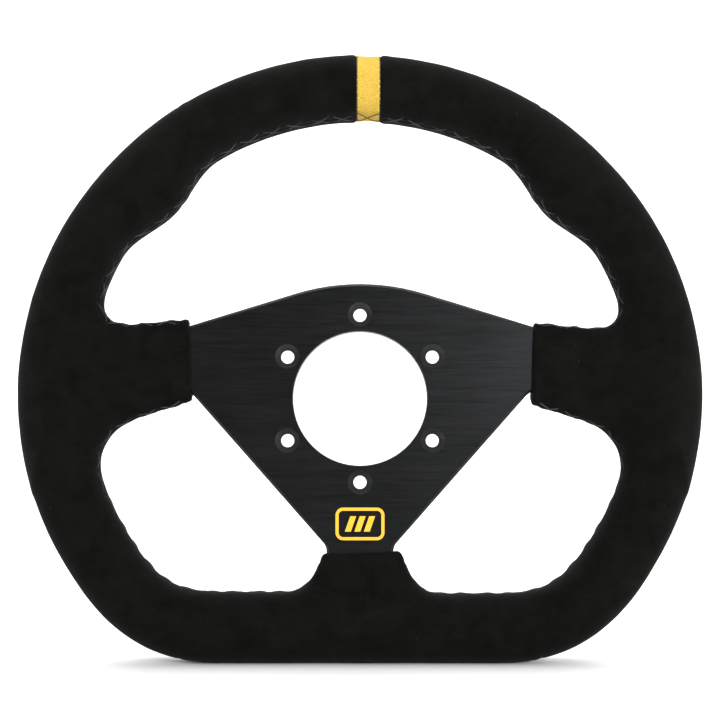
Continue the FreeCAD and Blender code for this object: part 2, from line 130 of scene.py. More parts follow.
def smooth(value):
    """Rises gently from 0 to 1 while value goes from 0 to 1."""
    value = np.clip(value, 0.0, 1.0)
    return value * value * (3 - 2 * value)


def smooth_union(a, b, reach):
    """Joins two distances with a rounded corner; reach is how far the rounding starts."""
    overlap = np.maximum(reach - np.abs(a - b), 0.0) / reach
    return np.minimum(a, b) - overlap * overlap * reach / 4


def grip_hump(angle):
    """1 at the middle of a thumb grip, 0 away from it."""
    away = np.abs(angle - GRIP_ANGLE) / GRIP_SPREAD
    return np.where(away < 1, 0.5 + 0.5 * np.cos(np.pi * np.minimum(away, 1)), 0.0)


def around_rim(p):
    """Distance outwards from the hoop's centre line, and the outward direction's angle."""
    x = np.abs(p[:, 0])
    z = p[:, 2]
    angle = np.degrees(np.arctan2(z, x))
    out = np.hypot(x, z) - HOOP
    corner_x = x - CORNER_X
    corner_z = z - CORNER_Z
    corner = (angle < CORNER_ANGLE) & (corner_x > 0)
    out = np.where(corner, np.hypot(corner_x, corner_z) - HOOP_CORNER, out)
    angle = np.where(corner, np.degrees(np.arctan2(corner_z, corner_x)), angle)
    flat = (corner_x <= 0) & (corner_z < 0)
    out = np.where(flat, -z - HOOP_FLAT, out)
    angle = np.where(flat, -90.0, angle)
    return out, angle


def rim_field(p):
    out, angle = around_rim(p)
    out = out + SIDE_FLAT * np.exp(-((angle + 36) / 22) ** 2)
    hump = grip_hump(angle)
    low = (LOW_EXTRA - LOW_LEAN * np.sign(p[:, 0])) * smooth((45 - angle) / 60)
    low = low + BOTTOM_EXTRA * smooth((-60 - angle) / 25)
    width = RIM_WIDTH + GRIP_BUMP * hump + low
    half_depth = RIM_DEPTH / 2 + hump
    across = np.abs(out - RIM_LINE + width / 2) / (width / 2)
    deep = np.abs(p[:, 1] - MID) / half_depth
    ratio = (across ** RIM_SQUARENESS + deep ** RIM_SQUARENESS) ** (1 / RIM_SQUARENESS)
    return (ratio - 1) * np.minimum(width / 2, half_depth)


def rounded_bar(across, deep, half_width, half_depth, past_end):
    """Flat bar with round edges, cut off square with a soft corner at its end."""
    edge = np.minimum(half_depth * 0.92, half_width)
    dx = across - (half_width - edge)
    dy = deep - (half_depth - edge)
    side = np.hypot(np.maximum(dx, 0), np.maximum(dy, 0)) + np.minimum(np.maximum(dx, dy), 0) - edge
    a = side + SLEEVE_CORNER
    b = past_end + SLEEVE_CORNER
    return np.hypot(np.maximum(a, 0), np.maximum(b, 0)) + np.minimum(np.maximum(a, b), 0) - SLEEVE_CORNER


def side_sleeve_field(p):
    """Sleeves on the side arms: each side has its own length and edges, and a slightly slanted end."""
    right = p[:, 0] > 0
    run = np.abs(p[:, 0]) - SLEEVE_END - np.where(right, 0.6, -0.7) - 0.035 * (p[:, 2] - 16)
    high = np.where(right, 31.7, 33.3) - 0.1 * run
    low = np.where(right, -2.5, -1.1) - 0.30 * run
    half_depth = SLEEVE_HALF_DEPTH + SLEEVE_SWELL * smooth(run / 40)
    across = np.abs(p[:, 2] - (high + low) / 2)
    bar = rounded_bar(across, np.abs(p[:, 1] - MID), (high - low) / 2, half_depth, -run)
    return np.maximum(bar, run - SLEEVE_LENGTH)


def foot_sleeve_field(p):
    """Sleeve on the bottom arm, wider towards the rim and with a slightly slanted end."""
    across = np.abs(p[:, 0] - FOOT_CENTRE)
    run = -p[:, 2] - FOOT_END + 0.5 + 0.033 * p[:, 0]
    half_width = FOOT_HALF_WIDTH + FOOT_FLARE * run
    half_depth = SLEEVE_HALF_DEPTH + SLEEVE_SWELL * smooth(run / 22)
    bar = rounded_bar(across, np.abs(p[:, 1] - MID), half_width, half_depth, -run)
    return np.maximum(bar, run - FOOT_LENGTH)


def cover_field(p):
    """Negative inside the suede's outer surface, about the distance in mm outside it."""
    rim = rim_field(p)
    side_round = np.where(p[:, 0] > 0, 17.0, 18.0) + 6.0 * smooth((20 - p[:, 2]) / 12)
    field = smooth_union(rim, side_sleeve_field(p), side_round)
    return smooth_union(field, foot_sleeve_field(p), FOOT_BLEND)


def field_slope(p, step=0.05):
    slope = np.empty_like(p)
    for axis in range(3):
        shift = np.zeros(3)
        shift[axis] = step
        slope[:, axis] = (cover_field(p + shift) - cover_field(p - shift)) / (2 * step)
    return slope


def onto_surface(p, level=0.0, rounds=5):
    """Moves points along the field's slope until the field equals level."""
    for _ in range(rounds):
        slope = field_slope(p)
        size = np.maximum((slope * slope).sum(1), 0.05)
        move = slope * ((cover_field(p) - level) / size)[:, None]
        length = np.linalg.norm(move, axis=1)
        p = p - move * np.minimum(1, 2.5 / np.maximum(length, 1e-9))[:, None]
    return p


def surface_normals(p):
    slope = field_slope(p)
    return slope / np.maximum(np.linalg.norm(slope, axis=1), 1e-9)[:, None]


# ------------------------------------------------------------ mesh helpers

def placed(name, mesh):
    """The smooth-shaded object of a mesh, in the scene."""
    mesh.shade_smooth()
    obj = bpy.data.objects.new(name, mesh)
    bpy.context.collection.objects.link(obj)
    return obj


def new_object(name, verts, faces):
    """A mesh object from points in mm."""
    mesh = bpy.data.meshes.new(name)
    mesh.from_pydata([tuple(v) for v in np.asarray(verts) * MM], [], [tuple(f) for f in faces])
    mesh.validate()
    mesh.update()
    return placed(name, mesh)


def ring_tube(rings, closed):
    """Faces that join rings of equal length; an open tube gets end caps."""
    count = len(rings[0])
    total = len(rings)
    faces = []
    for i in range(total if closed else total - 1):
        for j in range(count):
            a = i * count + j
            b = i * count + (j + 1) % count
            c = (i + 1) % total * count + (j + 1) % count
            d = (i + 1) % total * count + j
            faces.append((a, b, c, d))
    if not closed:
        faces.append(tuple(range(count - 1, -1, -1)))
        faces.append(tuple(range((total - 1) * count, total * count)))
    return np.concatenate(rings), faces


def oval_ring(centre, across, half_width, half_depth, count=28):
    turns = np.arange(count) * 2 * np.pi / count
    ring = np.outer(np.cos(turns) * half_width, across)
    ring[:, 1] += np.sin(turns) * half_depth
    return ring + centre


def rough_shapes():
    """Closed overlapping tubes near the final surface, for the remesh to join."""
    rings = []
    for step in range(240):
        turn = 2 * math.pi * step / 240
        angle = math.degrees(math.asin(math.sin(turn)))
        side = 1.0 if math.cos(turn) >= 0 else -1.0
        start, end = (CORNER_X, CORNER_Z), HOOP_CORNER
        if angle >= CORNER_ANGLE:
            start, end = (0.0, 0.0), HOOP
        direction = np.array([side * math.cos(math.radians(angle)), 0, math.sin(math.radians(angle))])
        centre = np.array([side * start[0], MID, start[1]]) + direction * end
        rings.append(oval_ring(centre, direction, 14.2, 13.6))
    shapes = [ring_tube(rings, True)]
    for side in (-1, 1):
        rings = []
        for reach in np.linspace(SLEEVE_END, 120, 12):
            run = reach - SLEEVE_END
            centre = np.array([side * reach, MID, 16 - 0.23 * run])
            rings.append(oval_ring(centre, np.array([0, 0, 1.0]), 17 + 0.13 * run, 4.4 + run * 0.05))
        shapes.append(ring_tube(rings, False))
    rings = []
    for drop in np.linspace(FOOT_END, 92, 8):
        centre = np.array([0, MID, -drop])
        rings.append(oval_ring(centre, np.array([1.0, 0, 0]), 15.5 + 0.42 * (drop - FOOT_END), 4.6))
    shapes.append(ring_tube(rings, False))
    return shapes


def remeshed(shapes, voxel):
    """Points and faces of one even skin round all the shapes."""
    verts, faces, offset = [], [], 0
    for points, loops in shapes:
        verts.append(points)
        faces.extend([tuple(i + offset for i in loop) for loop in loops])
        offset += len(points)
    obj = new_object("rough", np.concatenate(verts), faces)
    bm = bmesh.new()
    bm.from_mesh(obj.data)
    bmesh.ops.recalc_face_normals(bm, faces=bm.faces)
    bm.to_mesh(obj.data)
    bm.free()
    remesh = obj.modifiers.new("even", "REMESH")
    remesh.mode = "VOXEL"
    remesh.voxel_size = voxel * MM
    depsgraph = bpy.context.evaluated_depsgraph_get()
    mesh = bpy.data.meshes.new_from_object(obj.evaluated_get(depsgraph))
    points = np.empty(len(mesh.vertices) * 3)
    mesh.vertices.foreach_get("co", points)
    bpy.data.objects.remove(obj)
    return mesh, points.reshape(-1, 3) / MM


def relaxed(points, edges, rounds):
    """Evens out the spacing of points that share edges, and keeps them on the surface."""
    links = np.bincount(edges.ravel(), minlength=len(points))[:, None]
    for _ in range(rounds):
        total = np.zeros_like(points)
        np.add.at(total, edges[:, 0], points[edges[:, 1]])
        np.add.at(total, edges[:, 1], points[edges[:, 0]])
        points = onto_surface(0.4 * points + 0.6 * total / np.maximum(links, 1), rounds=2)
    return onto_surface(points, rounds=3)


# ------------------------------------------------------------ lacing lines along the openings

def opening_edge(centre, start, end):
    """Edge of an opening in the middle plane, seen from a point inside it."""
    count = 500
    nearest, farthest, gap = 4.0, 75.0, 0.5
    turns = np.radians(np.linspace(start, end, count))
    direction = np.stack([np.cos(turns), np.zeros(count), np.sin(turns)], axis=1)
    origin = np.array([centre[0], MID, centre[1]])
    near, far = np.full(count, nearest), np.full(count, farthest)
    steps = np.linspace(nearest, farthest, int((farthest - nearest) / gap) + 1)
    found = np.zeros(count, bool)
    for low, high in zip(steps[:-1], steps[1:]):
        hit = (cover_field(origin + direction * high) < 0) & ~found
        near[hit], far[hit] = low, high
        found |= hit
    for _ in range(18):
        middle = (near + far) / 2
        inside = cover_field(origin + direction * middle[:, None]) < 0
        far = np.where(inside, middle, far)
        near = np.where(inside, near, middle)
    return origin + direction * far[:, None]


def spaced(points, gap):
    """The same line with points about gap apart, and their distance along it."""
    steps = np.r_[0, np.cumsum(np.linalg.norm(np.diff(points, axis=0), axis=1))]
    count = max(2, int(round(steps[-1] / gap)) + 1)
    marks = np.linspace(0, steps[-1], count)
    line = np.stack([np.interp(marks, steps, points[:, axis]) for axis in range(3)], axis=1)
    return line, marks


def pair_count(length):
    """Pairs of holes that fit a line of lacing of this length."""
    return max(2, int(round(length / LACE_PITCH)))


def mirror(points):
    return points * np.array([-1.0, 1.0, 1.0])


def lace_lines():
    """Name and edge line of each run of lacing, from its free end at a sleeve."""
    upper = opening_edge((50.0, 70.0), -57.0, 137.0)
    lower = opening_edge((62.0, -38.0), 71.0, -149.0)
    right_upper = upper[(upper[:, 0] > MARKER_HIGH[0] + 0.6) & (upper[:, 2] > 25)]
    left_upper = mirror(upper)
    left_upper = left_upper[(left_upper[:, 0] < MARKER_LOW[0] - 0.6) & (left_upper[:, 2] > 25)]
    return {
        "lacing_upper_right": right_upper,
        "lacing_upper_left": left_upper,
        "lacing_lower_right": lower,
        "lacing_lower_left": mirror(lower),
    }


def lace_offset(points):
    """How far the lacing lies away from the driver: nearer at the top, farther along the bottom."""
    front = smooth((points[:, 2] + 82) / 75)
    return LACE_BACK - (LACE_BACK + LACE_FRONT) * front


# ------------------------------------------------------------ suede covers, marker and foam

def cut_plane(bm, inside, point, direction):
    """Cuts the faces whose centre passes the test with a plane."""
    faces = [face for face in bm.faces if inside(face.calc_center_median())]
    edges = {edge for face in faces for edge in face.edges}
    verts = {vert for face in faces for vert in face.verts}
    bmesh.ops.bisect_plane(
        bm, geom=list(verts) + list(edges) + faces, dist=1e-7,
        plane_co=Vector(point) * MM, plane_no=Vector(direction))


def refine(bm, inside):
    """Halves the edges of the faces whose centre passes the test."""
    edges = {edge for face in bm.faces if inside(face.calc_center_median()) for edge in face.edges}
    bmesh.ops.subdivide_edges(bm, edges=list(edges), cuts=1, use_grid_fill=True)


def lace_tree(lines):
    """Lookup from a point to the nearest place on any lacing line."""
    rows = []
    for line in lines.values():
        dense, marks = spaced(line, 0.5)
        pitch = marks[-1] / pair_count(marks[-1])
        shift = lace_offset(dense)
        for point, mark, offset in zip(dense, marks, shift):
            rows.append((point[0], point[1] + offset, point[2], mark / pitch, pitch))
    tree = KDTree(len(rows))
    for index, row in enumerate(rows):
        tree.insert(row[:3], index)
    tree.balance()
    return tree, np.array(rows)


def noise_at(points, scale, seed):
    """Smooth repeatable noise between about -1 and 1; scale is its wavelength in mm."""
    shift = Vector((seed * 17.3, seed * 5.1, seed * 9.7))
    return np.array([noise.noise(Vector(p) / scale + shift) for p in points])


def lace_relief(points, tree, rows):
    """Height of the suede near the lacing: closing groove, holes and puckers."""
    height = np.zeros(len(points))
    for index, point in enumerate(points):
        _, nearest, distance = tree.find(point)
        if distance > 11:
            continue
        row = rows[nearest]
        along = row[3]
        side = point[1] - row[1]
        hole = (along - round(along)) * row[4]
        reach = abs(side) if distance < abs(side) + 2 else distance
        pull = 0.75 + 0.9 * noise.noise(Vector((along * 0.9, 3.0, point[2] / 60)))
        height[index] -= 0.30 * math.exp(-(reach / 0.6) ** 2)
        spread = (hole / 1.1) ** 2 + ((reach - LACE_ROWS) / 0.7) ** 2
        height[index] -= 0.28 * math.exp(-spread)
        wave = math.cos(2 * math.pi * along)
        height[index] -= 0.09 * pull * wave * math.exp(-((reach - 1.6) / 3.0) ** 2)
    return height


def seam_distance(points):
    """Distance outside the marker strip's edges, negative on the strip; large elsewhere."""
    away = np.abs(points[:, 0] - MARKER_MIDDLE) - MARKER_HALF
    return np.where(points[:, 2] > MARKER_ZONE, away, 99.0)


def seam_relief(points):
    """Suede swells beside the marker's seams and the strip lies a little lower."""
    away = seam_distance(points)
    outer = 0.12 * np.exp(-((away - 2.4) / 2.0) ** 2) - 0.75 * np.exp(-(away / 0.75) ** 2)
    sag = 0.45 * (1 - ((away + MARKER_HALF) / MARKER_HALF) ** 2)
    inner = -0.12 - sag - 0.45 * np.exp(-(away / 0.45) ** 2)
    return np.where(away > 0, outer, inner)


def foot_seam_relief(points):
    """Butt seam of the two covers: on the back and underside of the bottom spoke only."""
    depth = 0.7 * np.exp(-(points[:, 0] / 0.7) ** 2) - 0.2 * np.exp(-((np.abs(points[:, 0]) - 2) / 1.2) ** 2)
    back = smooth((points[:, 1] - MID + 3) / 5)
    return np.where(points[:, 2] < FOOT_ZONE, -depth * back, 0.0)


def hem_relief(points):
    """Each sleeve's folded end: a lip with a shallow line of stitching behind it."""
    side = np.abs(points[:, 0]) - SLEEVE_END
    foot = -points[:, 2] - FOOT_END
    run = np.where(np.abs(points[:, 0]) > 60, side, foot)
    return 0.12 * np.exp(-((run - 1.4) / 0.9) ** 2) - 0.22 * np.exp(-((run - 3.6) / 0.7) ** 2)


def end_wrinkles(points):
    """Faint folds where the suede turns from the rim into the sleeves."""
    side = np.exp(-((np.abs(points[:, 0]) - 102) / 14) ** 2) * np.exp(-((points[:, 2] + 8) / 22) ** 2)
    folds = np.sin(points[:, 2] * 0.55 + 2.4 * noise_at(points, 26, 3))
    return 0.12 * side * folds


def make_skin(lines):
    """The whole suede surface as a bmesh in metres, with its relief."""
    mesh, points = remeshed(rough_shapes(), SKIN_VOXEL)
    edges = np.empty(len(mesh.edges) * 2, np.int32)
    mesh.edges.foreach_get("vertices", edges)
    points = relaxed(onto_surface(points), edges.reshape(-1, 2), 4)
    mesh.vertices.foreach_set("co", (points * MM).ravel())
    bm = bmesh.new()
    bm.from_mesh(mesh)
    tree, rows = lace_tree(lines)

    def near_lacing(centre, reach):
        return tree.find(centre / MM)[2] < reach

    def near_marker(centre):
        point = np.array([centre / MM])
        return abs(seam_distance(point)[0]) < 3.2

    refine(bm, lambda centre: near_lacing(centre, 5.0) or near_marker(centre))
    refine(bm, lambda centre: near_marker(centre) and abs(seam_distance(np.array([centre / MM]))[0]) < 1.6)
    for edge in MARKER_EDGES:
        cut_plane(bm, lambda c: c.z > MARKER_ZONE * MM and abs(c.x) < 20 * MM, (edge, 0, 0), (1, 0, 0))
    cut_plane(bm, lambda c: c.z < FOOT_ZONE * MM and abs(c.x) < 5 * MM, (0, 0, 0), (1, 0, 0))

    points = onto_surface(np.array([vert.co for vert in bm.verts]) / MM, rounds=3)
    normals = surface_normals(points)
    height = lace_relief(points, tree, rows) + seam_relief(points) + foot_seam_relief(points)
    height += hem_relief(points)
    height += 0.16 * noise_at(points, 24, 1) + 0.07 * noise_at(points, 7, 2) + end_wrinkles(points)
    moved = points + normals * height[:, None]
    around = np.arctan2(points[:, 1] - MID, np.hypot(points[:, 0], points[:, 2]) - HOOP) * RIM_DEPTH / 2
    reach = np.where(points[:, 0] > 2, 0.22, 0.12)
    scallop = reach * np.sin(2 * np.pi * around / SEAM_STITCH) * np.exp(-(seam_distance(points) / 1.0) ** 2)
    moved[:, 0] += scallop
    for vert, co in zip(bm.verts, moved):
        vert.co = co * MM
    bpy.data.meshes.remove(mesh)
    return bm


def part_of_skin(bm, name, wanted):
    """A closed suede piece from the faces whose centre passes the test."""
    copy = bm.copy()
    copy.faces.ensure_lookup_table()
    doomed = [face for face in copy.faces if not wanted(face.calc_center_median() / MM)]
    bmesh.ops.delete(copy, geom=doomed, context="FACES")
    mesh = bpy.data.meshes.new(name)
    copy.to_mesh(mesh)
    copy.free()
    obj = placed(name, mesh)
    shell = obj.modifiers.new("thickness", "SOLIDIFY")
    shell.thickness = SKIN * MM
    shell.offset = -1
    shell.use_rim = True
    return obj


def make_foam():
    """The moulding under the suede, as one even closed skin."""
    mesh, points = remeshed(rough_shapes(), FOAM_VOXEL)
    points = onto_surface(points, level=-FOAM_DEPTH, rounds=8)
    mesh.vertices.foreach_set("co", (points * MM).ravel())
    return placed("foam", mesh)


# ------------------------------------------------------------ threads

def twisted_thread(path, radius, verts, faces, sides=12):
    """Adds a two-ply thread that follows path, as points and faces in mm."""
    path = np.asarray(path)
    along = np.gradient(path, axis=0)
    along /= np.linalg.norm(along, axis=1)[:, None]
    base = len(verts)
    travel = np.r_[0, np.cumsum(np.linalg.norm(np.diff(path, axis=0), axis=1))]
    up = np.array([0.0, 1.0, 0.0])
    for index, (point, forward) in enumerate(zip(path, along)):
        side = np.cross(forward, up)
        if np.linalg.norm(side) < 0.1:
            side = np.cross(forward, [1.0, 0.0, 0.0])
        side /= np.linalg.norm(side)
        other = np.cross(side, forward)
        twist = travel[index] * 2 * math.pi / THREAD_TWIST
        for step in range(sides):
            turn = 2 * math.pi * step / sides
            reach = radius * (0.80 + 0.20 * abs(math.cos(turn - twist)))
            verts.append(point + (side * math.cos(turn) + other * math.sin(turn)) * reach)
    for ring in range(len(path) - 1):
        for step in range(sides):
            a = base + ring * sides + step
            b = base + ring * sides + (step + 1) % sides
            faces.append((a, b, b + sides, a + sides))
    faces.append(tuple(range(base + sides - 1, base - 1, -1)))
    last = base + (len(path) - 1) * sides
    faces.append(tuple(range(last, last + sides)))


def leg_path(start, end, lift, samples=15, swing=0.0):
    """Thread from hole to hole: out of the suede, arched over it, and back in."""
    part = np.linspace(0, 1, samples)[:, None]
    flat = start + (end - start) * part
    flat[:, 1] += swing * (end[1] - start[1]) * (smooth(part[:, 0]) - part[:, 0])
    flat = onto_surface(flat, rounds=4)
    normal = surface_normals(flat)
    arch = np.sin(np.pi * part[:, 0]) ** 0.45
    height = -0.9 + (0.9 + THREAD * 0.55) * arch + lift * np.sin(np.pi * part[:, 0]) ** 2
    return flat + normal * height[:, None]


def make_lacing(name, line):
    """Two threads that swap rows at every pair of holes and cross in between."""
    dense, marks = spaced(line, 0.5)
    holes = pair_count(marks[-1])
    stops = np.linspace(0, marks[-1], holes + 1)
    offset = lace_offset(dense)
    verts, faces = [], []
    wobble = np.random.default_rng(len(line) + holes)
    for thread, lift in ((0, -0.20), (1, 0.12)):
        for index in range(holes):
            ends = []
            for place in (index, index + 1):
                row = LACE_ROWS if (place + thread) % 2 else -LACE_ROWS
                at = stops[place] + wobble.uniform(-0.35, 0.35)
                at = min(max(at + (0.25 if place == index else -0.25), 0), marks[-1])
                point = np.array([np.interp(at, marks, dense[:, axis]) for axis in range(3)])
                point[1] += np.interp(at, marks, offset) + row + wobble.uniform(-0.2, 0.2)
                ends.append(point)
            twisted_thread(leg_path(ends[0], ends[1], lift), THREAD, verts, faces)
    return new_object(name, verts, faces)


def make_marker_lacing():
    """The cross on the marker's inner face."""
    inner = RIM_RADIUS - RIM_WIDTH
    left = MARKER_LOW[0] - 0.3
    right = MARKER_HIGH[0] + 0.3
    middle = MID - LACE_FRONT
    verts, faces = [], []
    for row, lift in ((LACE_ROWS, -0.45), (-LACE_ROWS, -0.05)):
        start = np.array([left, middle + row, inner])
        end = np.array([right, middle - row, inner])
        twisted_thread(leg_path(start, end, lift, 31, 1.6), THREAD * 0.8, verts, faces)
    return new_object("lacing_marker", verts, faces)


def make_marker_seam(name, x):
    """Short stitches round the rim, down in the seam beside the marker."""
    middle = RIM_RADIUS - RIM_WIDTH / 2
    count, radius, sunk = 400, 13.0, 0.62
    turns = np.linspace(0, 2 * np.pi, count, endpoint=False)
    across = MID + np.sin(turns) * radius
    outwards = middle + np.cos(turns) * radius
    ring = np.stack([np.full(count, x), across, outwards], axis=1)
    ring = onto_surface(ring)
    ring[:, 0] = x
    ring -= surface_normals(ring) * sunk
    line, marks = spaced(np.vstack([ring, ring[:1]]), 0.3)
    stitches = int(marks[-1] // SEAM_STITCH)
    verts, faces = [], []
    for index in range(stitches):
        low = marks[-1] * index / stitches
        high = low + SEAM_STITCH * 0.72
        at = np.linspace(low, high, 6)
        path = np.stack([np.interp(at, marks, line[:, axis]) for axis in range(3)], axis=1)
        twisted_thread(path, SEAM_THREAD, verts, faces, sides=8)
    return new_object(name, verts, faces)


# ------------------------------------------------------------ materials

def material(name, **values):
    """A Principled material; values are the shader's own socket names with _ for spaces."""
    mat = bpy.data.materials.new(name)
    mat.use_nodes = True
    shader = mat.node_tree.nodes["Principled BSDF"]
    for key, value in values.items():
        shader.inputs[key.replace("_", " ")].default_value = value
    return mat, mat.node_tree, shader


def add(tree, kind, inputs=None, **settings):
    node = tree.nodes.new(kind)
    for key, value in settings.items():
        setattr(node, key, value)
    for key, value in (inputs or {}).items():
        if isinstance(value, bpy.types.NodeSocket):
            tree.links.new(value, node.inputs[key])
        else:
            node.inputs[key].default_value = value
    return node


def object_coordinates(tree, stretch=(1, 1, 1)):
    place = add(tree, "ShaderNodeTexCoord")
    mapping = add(tree, "ShaderNodeMapping", {"Vector": place.outputs["Object"], "Scale": stretch})
    return mapping.outputs["Vector"]


def noise_node(tree, vector, scale, detail=3.0, distortion=0.0):
    values = {"Vector": vector, "Scale": scale, "Detail": detail, "Distortion": distortion}
    return add(tree, "ShaderNodeTexNoise", values).outputs["Fac"]


def ramp(tree, value, stops):
    node = add(tree, "ShaderNodeValToRGB", {"Fac": value})
    while len(node.color_ramp.elements) < len(stops):
        node.color_ramp.elements.new(0.5)
    for element, (position, colour) in zip(node.color_ramp.elements, stops):
        element.position = position
        element.color = (*colour, 1)
    return node.outputs["Color"]


def grey(value):
    return (value, value, value)


def mix_colour(tree, blend, factor, a, b):
    node = tree.nodes.new("ShaderNodeMix")
    node.data_type = "RGBA"
    node.blend_type = blend
    for socket, value in ((node.inputs[0], factor), (node.inputs[6], a), (node.inputs[7], b)):
        if isinstance(value, bpy.types.NodeSocket):
            tree.links.new(value, socket)
        elif socket.type == "RGBA":
            socket.default_value = (*value, 1)
        else:
            socket.default_value = value
    return node.outputs[2]


def maths(tree, operation, a, b=0.0):
    node = add(tree, "ShaderNodeMath", {0: a, 1: b}, operation=operation)
    return node.outputs[0]


def bump(tree, height, strength, distance, under=None):
    values = {"Height": height, "Strength": strength, "Distance": distance}
    if under is not None:
        values["Normal"] = under
    return add(tree, "ShaderNodeBump", values).outputs["Normal"]


def suede_material(name, dark, light, speck, sheen, sheen_tint, gloss):
    """Napped suede: blotches where the nap lies differently, fine fibres and a little dust."""
    mat, tree, shader = material(
        name, Roughness=0.96, Sheen_Weight=sheen, Sheen_Roughness=0.42, Sheen_Tint=(*sheen_tint, 1))
    shader.inputs["Specular IOR Level"].default_value = gloss
    where = object_coordinates(tree)
    blotch = noise_node(tree, where, 95, 4.0, 0.6)
    streak = noise_node(tree, object_coordinates(tree, (1, 1, 2.4)), 260, 3.0, 1.2)
    fibre = noise_node(tree, where, 2600, 2.0)
    nap = maths(tree, "ADD", maths(tree, "MULTIPLY", blotch, 0.62), maths(tree, "MULTIPLY", streak, 0.38))
    tone = ramp(tree, nap, [(0.34, dark), (0.66, light)])
    fibre_tone = ramp(tree, fibre, [(0.3, grey(0.72)), (0.72, grey(1.32))])
    tone = mix_colour(tree, "MULTIPLY", 1.0, tone, fibre_tone)
    dots = add(tree, "ShaderNodeTexVoronoi", {"Vector": where, "Scale": 210.0})
    near = maths(tree, "LESS_THAN", dots.outputs["Distance"], 0.055)
    rare = maths(tree, "GREATER_THAN", noise_node(tree, where, 330, 0.0), 0.66)
    tone = mix_colour(tree, "MIX", maths(tree, "MULTIPLY", near, rare), tone, speck)
    tree.links.new(tone, shader.inputs["Base Color"])
    coarse = bump(tree, nap, 0.55, 0.0006)
    tree.links.new(bump(tree, fibre, 0.6, 0.00022, coarse), shader.inputs["Normal"])
    return mat


def painted_highlight_faces(tree):
    """Where the painted highlight goes: 1 on bevels and countersinks, 0 on the plate's flat faces."""
    normal = add(tree, "ShaderNodeNewGeometry").outputs["True Normal"]
    facing = add(tree, "ShaderNodeSeparateXYZ", {"Vector": normal}).outputs["Y"]
    return maths(tree, "LESS_THAN", maths(tree, "ABSOLUTE", facing), 0.95)


def plate_material():
    """Aluminium brushed along the side arms and anodised black, with a painted highlight on bevels and
    countersinks.
    """
    mat, tree, shader = material("black_anodised", Metallic=0.9)
    shader.inputs["Specular IOR Level"].default_value = 0.4
    fine = noise_node(tree, object_coordinates(tree, (22, 600, 1300)), 3.2, 3.0)
    broad = noise_node(tree, object_coordinates(tree, (7, 120, 170)), 2.2, 2.0)
    cloud = noise_node(tree, object_coordinates(tree), 26, 2.0)
    line = maths(tree, "ADD", maths(tree, "MULTIPLY", fine, 0.75), maths(tree, "MULTIPLY", broad, 0.25))
    tone = ramp(tree, line, [(0.32, (0.0044, 0.0047, 0.0049)), (0.68, (0.0098, 0.0104, 0.0108))])
    tone = mix_colour(tree, "MULTIPLY", 0.6, tone, ramp(tree, cloud, [(0.3, grey(0.75)), (0.7, grey(1.2))]))
    # painted highlight: bevels and countersinks get a lighter colour that stands in for the light they
    # reflect
    tone = mix_colour(tree, "MIX", painted_highlight_faces(tree), tone, (0.046, 0.047, 0.048))
    tree.links.new(tone, shader.inputs["Base Color"])
    rough = ramp(tree, line, [(0.3, grey(0.30)), (0.7, grey(0.46))])
    tree.links.new(rough, shader.inputs["Roughness"])
    tree.links.new(bump(tree, line, 0.30, 0.00006), shader.inputs["Normal"])
    return mat


def thread_material(name, dark, light):
    mat, tree, shader = material(name, Roughness=0.7)
    where = object_coordinates(tree)
    fibre = noise_node(tree, where, 5200, 2.0)
    wear = noise_node(tree, where, 160, 2.0)
    tone = mix_colour(tree, "MULTIPLY", 1.0, ramp(tree, wear, [(0.35, dark), (0.65, light)]),
                      ramp(tree, fibre, [(0.3, grey(0.7)), (0.7, grey(1.3))]))
    tree.links.new(tone, shader.inputs["Base Color"])
    tree.links.new(bump(tree, fibre, 0.5, 0.0001), shader.inputs["Normal"])
    return mat


def ink_material():
    mat, tree, shader = material("yellow_ink", Roughness=0.5)
    where = object_coordinates(tree)
    film = noise_node(tree, where, 900, 2.0)
    tree.links.new(ramp(tree, film, [(0.3, (0.74, 0.36, 0.003)), (0.7, (0.80, 0.41, 0.006))]),
                   shader.inputs["Base Color"])
    tree.links.new(bump(tree, film, 0.2, 0.00004), shader.inputs["Normal"])
    return mat


def metal_material(name, colour, roughness):
    mat, tree, shader = material(name, Metallic=1.0)
    where = object_coordinates(tree)
    drawn = noise_node(tree, where, 420, 3.0)
    tree.links.new(ramp(tree, drawn, [(0.3, [c * 0.85 for c in colour]), (0.7, colour)]),
                   shader.inputs["Base Color"])
    tree.links.new(ramp(tree, drawn, [(0.3, grey(roughness)), (0.7, grey(roughness + 0.15))]),
                   shader.inputs["Roughness"])
    return mat


def foam_material():
    mat, tree, shader = material("moulded_foam", Roughness=0.85)
    cells = add(tree, "ShaderNodeTexVoronoi", {"Vector": object_coordinates(tree), "Scale": 900.0})
    tree.links.new(ramp(tree, cells.outputs["Distance"], [(0.1, grey(0.012)), (0.6, grey(0.022))]),
                   shader.inputs["Base Color"])
    tree.links.new(bump(tree, cells.outputs["Distance"], 0.4, 0.0002), shader.inputs["Normal"])
    return mat


def paint(obj, mat):
    """Gives every material slot of an object one material."""
    if not obj.data.materials:
        obj.data.materials.append(mat)
    for slot in obj.material_slots:
        slot.material = mat


# ------------------------------------------------------------ the wheel's visible pieces

def finish_piece(obj, mat, slot, *nodes):
    paint(obj, mat)
    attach(obj, "root")
    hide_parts(*nodes)


